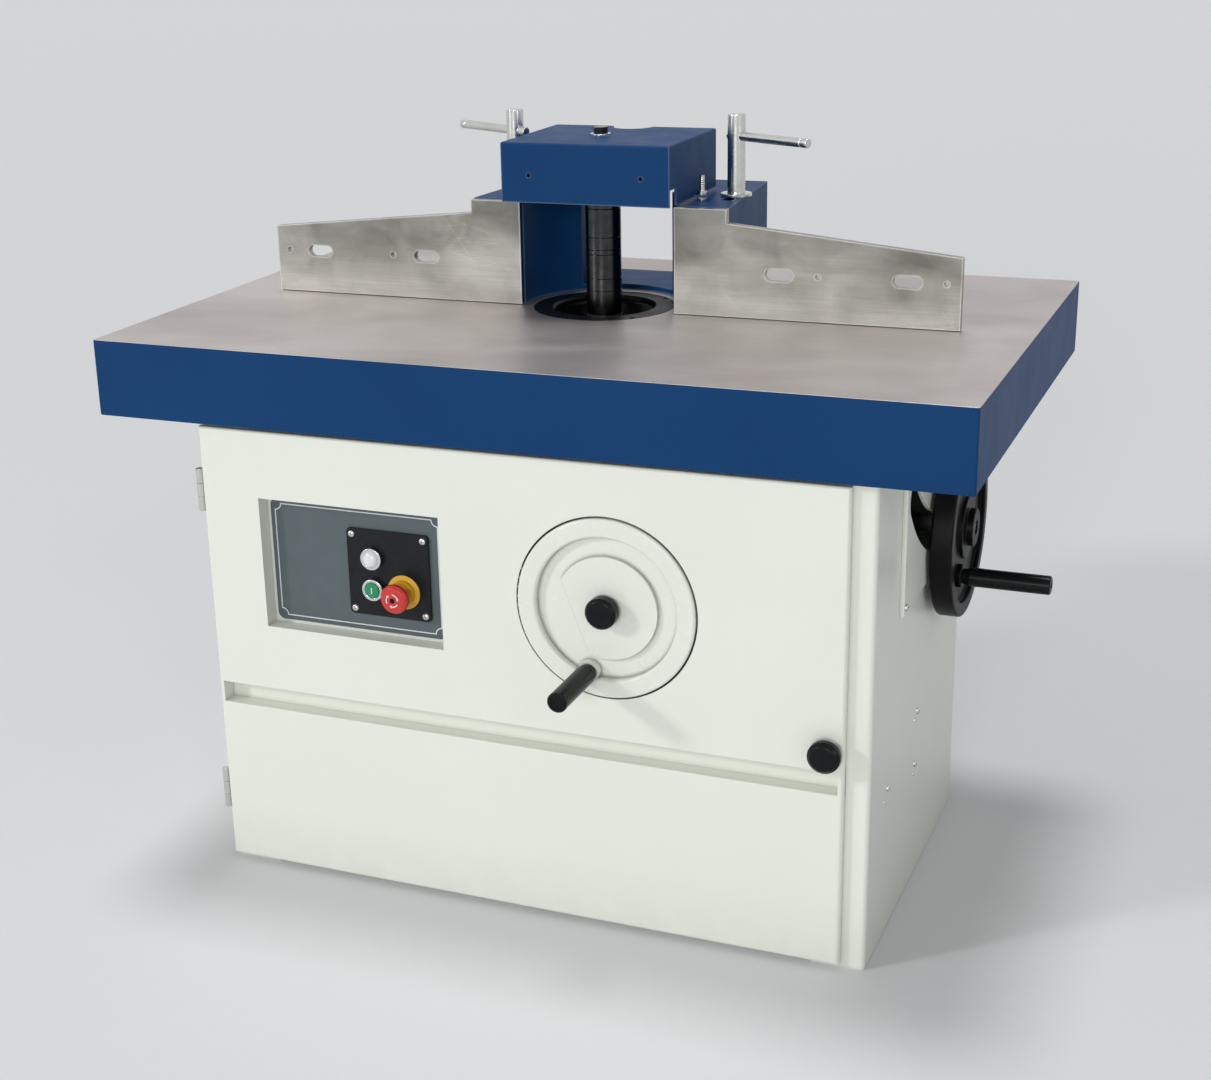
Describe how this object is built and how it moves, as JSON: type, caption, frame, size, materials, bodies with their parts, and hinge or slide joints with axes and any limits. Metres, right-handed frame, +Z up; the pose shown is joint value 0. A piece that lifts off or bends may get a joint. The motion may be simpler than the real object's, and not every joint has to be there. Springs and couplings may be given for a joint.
{
  "type": "spindle moulder",
  "caption": "Floor-standing spindle moulder: cream cabinet with hinged door, cast table, tilting and rising spindle, hooded two-plate fence and two handwheels.",
  "frame": {"origin": "on the floor at the centre of the four anchor holes", "axes": "+X to the operator's right, +Y away from the operator, +Z up"},
  "size_m": [1.2418, 0.854, 1.0233],
  "materials": {
    "cabinet_paint": "semi-gloss off-white paint",
    "table_iron": "ground top, dark blue painted sides",
    "blue_paint": "gloss dark blue paint",
    "fence_metal": "worn bare metal",
    "raw_casting": "grey primer on cast iron",
    "bright_steel": "machined steel",
    "zinc": "zinc-plated steel",
    "black_oxide": "black oxide on steel",
    "bronze": "plain bronze",
    "white_paint": "semi-gloss white paint",
    "black_gloss": "gloss black paint on cast iron",
    "black_plastic": "moulded black plastic",
    "grey_plate": "satin grey plate",
    "white_plastic": "translucent white plastic",
    "green_plastic": "gloss green plastic",
    "red_plastic": "gloss red plastic",
    "yellow_plastic": "satin yellow plastic",
    "belt_rubber": "matte rubber"
  },
  "bodies": {
    "cabinet": {"base_pan": "cabinet_paint", "left_side_wall": "cabinet_paint", "right_side_wall": "cabinet_paint", "rear_panel": "cabinet_paint", "panel_screws": "zinc", "front_rail": "cabinet_paint", "table_bearers": "bright_steel", "table": "table_iron", "frame_bolts": "zinc", "ring_insert": "black_oxide", "ring_screws": "black_oxide", "left_trunnion": "raw_casting", "right_trunnion": "raw_casting", "side_slot_plate": "cabinet_paint", "tilt_stanchion": "cabinet_paint", "tilt_bearings": "bronze", "hinge_fixed_leaves": "zinc"},
    "door": {"front_door": "cabinet_paint", "hinge_door_leaves": "zinc", "control_plate": "grey_plate", "button_plate": "black_plastic", "button_plate_screws": "zinc", "lamp": "white_plastic", "estop_ring": "yellow_plastic", "contact_blocks": "black_plastic"},
    "latch_knob": {"latch_knob": "black_plastic"},
    "start_button": {"start_button": "green_plastic"},
    "estop_button": {"estop_button": "red_plastic"},
    "tilt_wheel": {"tilt_wheel": "white_paint", "tilt_screw": "bright_steel", "tilt_grip_bolt": "bright_steel"},
    "tilt_grip": {"tilt_grip": "black_plastic"},
    "tilt_lock_knob": {"tilt_lock_knob": "black_plastic"},
    "tilt_nut": {"tilt_nut": "bright_steel"},
    "carriage": {"tilt_carriage": "raw_casting"},
    "lift_screw": {"lift_screw": "bright_steel"},
    "lift_wheel": {"lift_shaft": "bright_steel", "lift_wheel": "black_gloss", "lift_grip_bolt": "bright_steel"},
    "lift_grip": {"lift_grip": "black_plastic"},
    "slide": {"spindle_slide": "raw_casting", "spindle_bearings": "bright_steel", "motor_plate": "bright_steel", "motor_body": "raw_casting", "drive_belt": "belt_rubber"},
    "spindle": {"spindle_arbor": "bright_steel", "spacer_rings": "black_oxide", "spindle_nut": "black_oxide", "spindle_pulley": "bright_steel"},
    "motor_rotor": {"motor_pulley": "bright_steel"},
    "fence": {"fence_housing": "blue_paint", "hood_studs": "zinc", "hood": "blue_paint", "hood_bolt": "black_oxide"},
    "left_fence_plate": {"left_fence_plate": "fence_metal"},
    "right_fence_plate": {"right_fence_plate": "fence_metal"},
    "left_clamp": {"left_clamp_screw": "zinc"},
    "right_clamp": {"right_clamp_screw": "zinc"},
    "left_clamp_bar": {"left_clamp_bar": "zinc"},
    "right_clamp_bar": {"right_clamp_bar": "zinc"}
  },
  "joints": [
    {"name": "door_swing", "type": "hinge", "parent": "cabinet", "child": "door", "pos_m": [-0.472, -0.267, 0.326], "axis": [0, 0, -1], "range_deg": [0, 100]},
    {"name": "latch_knob_turn", "type": "hinge", "parent": "door", "child": "latch_knob", "pos_m": [0.414, -0.285, 0.307], "axis": [0, -1, 0], "range_deg": [0, 360]},
    {"name": "start_push", "type": "slide", "parent": "door", "child": "start_button", "axis": [0, 1, 0], "range_m": [0, 0.004], "stiffness_N_per_m": 400},
    {"name": "estop_push", "type": "slide", "parent": "door", "child": "estop_button", "axis": [0, 1, 0], "range_m": [0, 0.006], "stiffness_N_per_m": 600},
    {"name": "tilt_wheel_turn", "type": "hinge", "parent": "cabinet", "child": "tilt_wheel", "pos_m": [0.122, -0.27, 0.46], "axis": [0, -1, 0], "range_deg": [0, 3600]},
    {"name": "carriage_tilt", "type": "hinge", "parent": "cabinet", "child": "carriage", "pos_m": [-0.027, 0.121, 0.762], "axis": [-1, 0, 0], "range_deg": [0, 45]},
    {"name": "tilt_nut_slide", "type": "slide", "parent": "cabinet", "child": "tilt_nut", "axis": [0, 1, 0], "range_m": [-0.20665, 0]},
    {"name": "tilt_grip_spin", "type": "hinge", "parent": "tilt_wheel", "child": "tilt_grip", "pos_m": [0.098, -0.33, 0.372], "axis": [0, -1, 0], "continuous": true},
    {"name": "tilt_lock_turn", "type": "hinge", "parent": "tilt_wheel", "child": "tilt_lock_knob", "pos_m": [0.122, -0.285, 0.46], "axis": [0, -1, 0], "range_deg": [0, 270]},
    {"name": "lift_wheel_turn", "type": "hinge", "parent": "carriage", "child": "lift_wheel", "pos_m": [0.49, 0.111, 0.489], "axis": [1, 0, 0], "range_deg": [-4320, 1440]},
    {"name": "lift_screw_turn", "type": "hinge", "parent": "carriage", "child": "lift_screw", "pos_m": [0.053, 0.111, 0.54], "axis": [0, 0, 1], "range_deg": [-4320, 1440]},
    {"name": "spindle_lift", "type": "slide", "parent": "carriage", "child": "slide", "axis": [0, 0, 1], "range_m": [-0.06, 0.02]},
    {"name": "lift_grip_spin", "type": "hinge", "parent": "lift_wheel", "child": "lift_grip", "pos_m": [0.56, 0.07546, 0.42986], "axis": [1, 0, 0], "continuous": true},
    {"name": "spindle_spin", "type": "hinge", "parent": "slide", "child": "spindle", "pos_m": [-0.027, 0.121, 0.7], "axis": [0, 0, 1], "continuous": true},
    {"name": "motor_spin", "type": "hinge", "parent": "slide", "child": "motor_rotor", "pos_m": [-0.244, 0.121, 0.45], "axis": [0, 0, 1], "continuous": true},
    {"name": "fence_slide", "type": "slide", "parent": "cabinet", "child": "fence", "axis": [0, 1, 0], "range_m": [-0.015, 0.035]},
    {"name": "left_plate_slide", "type": "slide", "parent": "fence", "child": "left_fence_plate", "axis": [-1, 0, 0], "range_m": [-0.018, 0.018]},
    {"name": "right_plate_slide", "type": "slide", "parent": "fence", "child": "right_fence_plate", "axis": [1, 0, 0], "range_m": [-0.018, 0.018]},
    {"name": "left_clamp_turn", "type": "hinge", "parent": "cabinet", "child": "left_clamp", "pos_m": [-0.195, 0.205, 0.93], "axis": [0, 0, 1], "range_deg": [-60, 115]},
    {"name": "right_clamp_turn", "type": "hinge", "parent": "cabinet", "child": "right_clamp", "pos_m": [0.141, 0.205, 0.93], "axis": [0, 0, 1], "range_deg": [-60, 115]},
    {"name": "left_bar_slide", "type": "slide", "parent": "left_clamp", "child": "left_clamp_bar", "axis": [-0.891, 0.454, 0], "range_m": [-0.008, 0.011]},
    {"name": "right_bar_slide", "type": "slide", "parent": "right_clamp", "child": "right_clamp_bar", "axis": [0.891, -0.454, 0], "range_m": [-0.019, 0]}
  ],
  "couplings": [
    {"joint": "carriage_tilt", "follows": "tilt_wheel_turn", "ratio": 0.0125},
    {"joint": "tilt_nut_slide", "follows": "tilt_wheel_turn", "m_per_rad": -0.003288},
    {"joint": "spindle_lift", "follows": "lift_wheel_turn", "m_per_rad": 0.00079577},
    {"joint": "lift_screw_turn", "follows": "lift_wheel_turn", "ratio": 1},
    {"joint": "motor_spin", "follows": "spindle_spin", "ratio": 0.82609}
  ]
}
